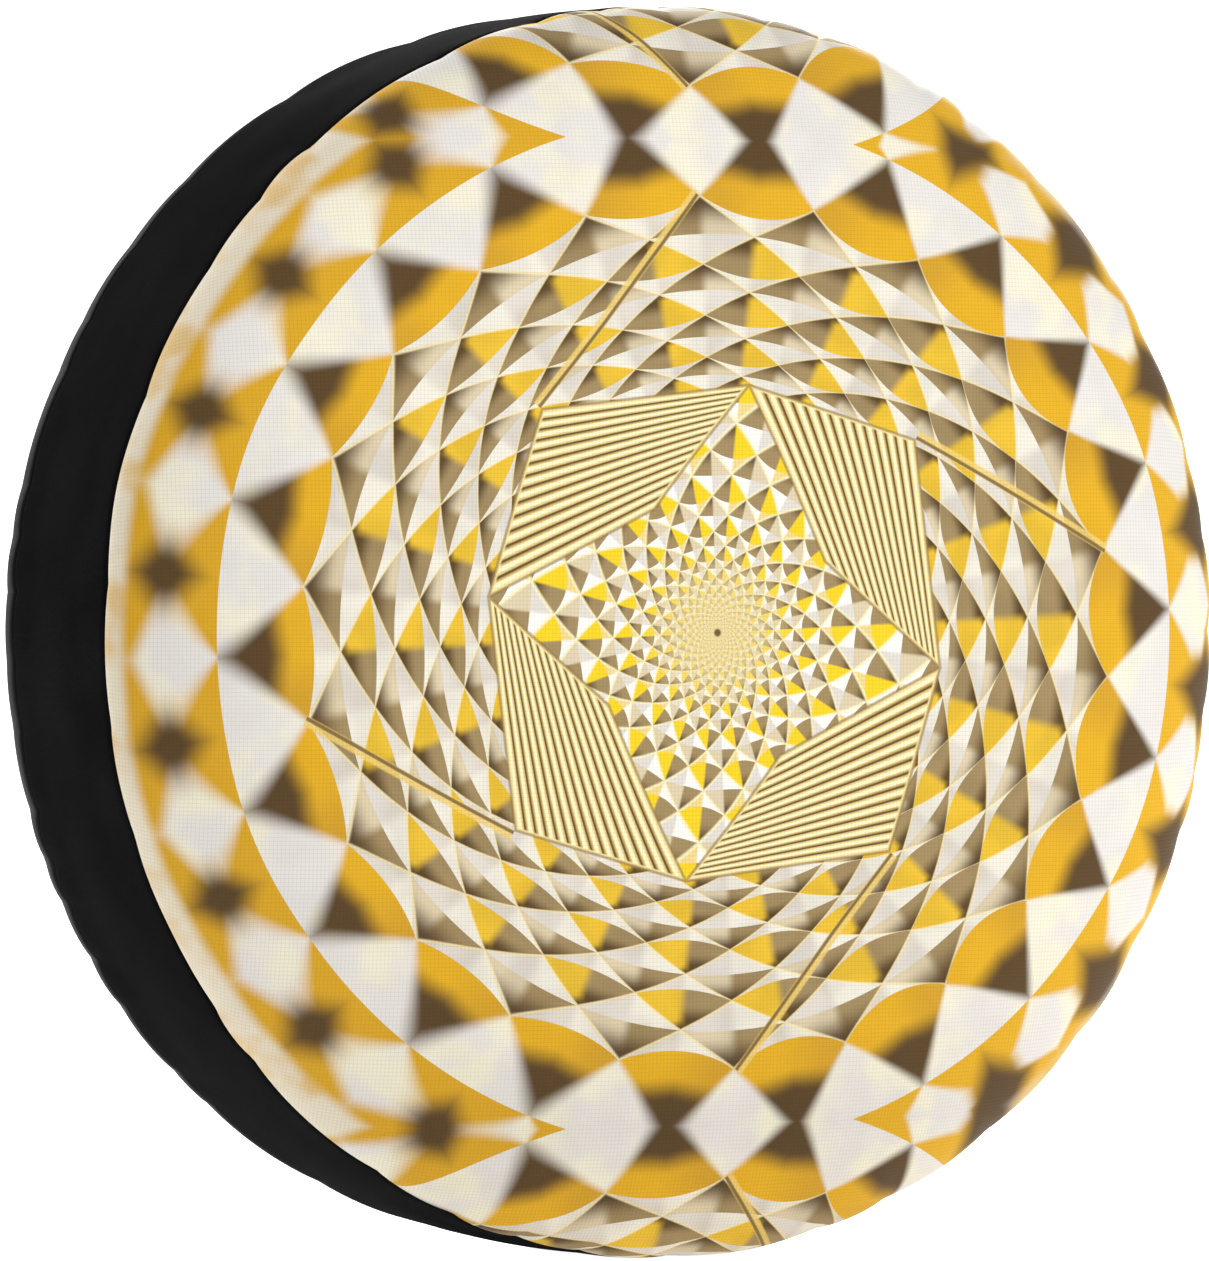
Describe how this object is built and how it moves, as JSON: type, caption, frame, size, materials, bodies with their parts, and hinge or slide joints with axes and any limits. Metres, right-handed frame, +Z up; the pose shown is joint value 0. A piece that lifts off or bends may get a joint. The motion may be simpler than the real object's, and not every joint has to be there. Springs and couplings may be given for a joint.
{
  "type": "spare tire cover",
  "caption": "Round fabric cover for a spare tire, with a printed face, black tread band, elastic rear hem and buckled straps across its open back.",
  "frame": {"origin": "middle of the front panel's inside, on the tire's axis, where the tire's outer sidewall bears", "axes": "+Y along the tire's axis, out of the open back; +Z up; +X to the right seen from the printed face"},
  "size_m": [0.72, 0.2265, 0.72],
  "materials": {
    "printed_cloth": "printed plain weave, matte",
    "black_cloth": "plain weave, matte",
    "binding_tape": "grosgrain tape",
    "elastic": "braided elastic",
    "webbing": "woven strap",
    "buckle_plastic": "satin moulded plastic"
  },
  "bodies": {
    "root": {"front_panel": "printed_cloth", "tread_band": "black_cloth", "rear_panel": "black_cloth", "front_seam_binding": "binding_tape", "rear_seam_binding": "binding_tape", "hem_channel": "black_cloth", "hem_elastic": "elastic", "upper_strap_fixed": "webbing", "upper_strap_adjustable": "webbing", "upper_buckle_socket": "buckle_plastic", "lower_strap_fixed": "webbing", "lower_strap_adjustable": "webbing", "lower_buckle_socket": "buckle_plastic"},
    "upper_plug": {"upper_buckle_plug": "buckle_plastic"},
    "upper_top_arm": {"upper_top_latch_arm": "buckle_plastic"},
    "upper_bottom_arm": {"upper_bottom_latch_arm": "buckle_plastic"},
    "upper_keeper": {"upper_strap_keeper": "buckle_plastic"},
    "lower_plug": {"lower_buckle_plug": "buckle_plastic"},
    "lower_top_arm": {"lower_top_latch_arm": "buckle_plastic"},
    "lower_bottom_arm": {"lower_bottom_latch_arm": "buckle_plastic"},
    "lower_keeper": {"lower_strap_keeper": "buckle_plastic"}
  },
  "joints": [
    {"name": "upper_buckle_release", "type": "slide", "parent": "root", "child": "upper_plug", "axis": [1, 0, 0], "range_m": [0, 0.03], "deforming": ["upper_strap_adjustable", "upper_top_latch_arm", "upper_bottom_latch_arm"]},
    {"name": "upper_top_arm_squeeze", "type": "hinge", "parent": "upper_plug", "child": "upper_top_arm", "pos_m": [-0.007, 0.22035, 0.128], "axis": [0, -1, 0], "range_deg": [0, 10], "stiffness_Nm_per_rad": 0.6},
    {"name": "upper_bottom_arm_squeeze", "type": "hinge", "parent": "upper_plug", "child": "upper_bottom_arm", "pos_m": [-0.007, 0.22035, 0.108], "axis": [0, 1, 0], "range_deg": [0, 10], "stiffness_Nm_per_rad": 0.6},
    {"name": "upper_keeper_slide", "type": "slide", "parent": "root", "child": "upper_keeper", "axis": [1, 0, 0], "range_m": [-0.01, 0.03]},
    {"name": "lower_buckle_release", "type": "slide", "parent": "root", "child": "lower_plug", "axis": [1, 0, 0], "range_m": [0, 0.03], "deforming": ["lower_strap_adjustable", "lower_top_latch_arm", "lower_bottom_latch_arm"]},
    {"name": "lower_top_arm_squeeze", "type": "hinge", "parent": "lower_plug", "child": "lower_top_arm", "pos_m": [-0.007, 0.22035, -0.108], "axis": [0, -1, 0], "range_deg": [0, 10], "stiffness_Nm_per_rad": 0.6},
    {"name": "lower_bottom_arm_squeeze", "type": "hinge", "parent": "lower_plug", "child": "lower_bottom_arm", "pos_m": [-0.007, 0.22035, -0.128], "axis": [0, 1, 0], "range_deg": [0, 10], "stiffness_Nm_per_rad": 0.6},
    {"name": "lower_keeper_slide", "type": "slide", "parent": "root", "child": "lower_keeper", "axis": [1, 0, 0], "range_m": [-0.01, 0.03]}
  ]
}
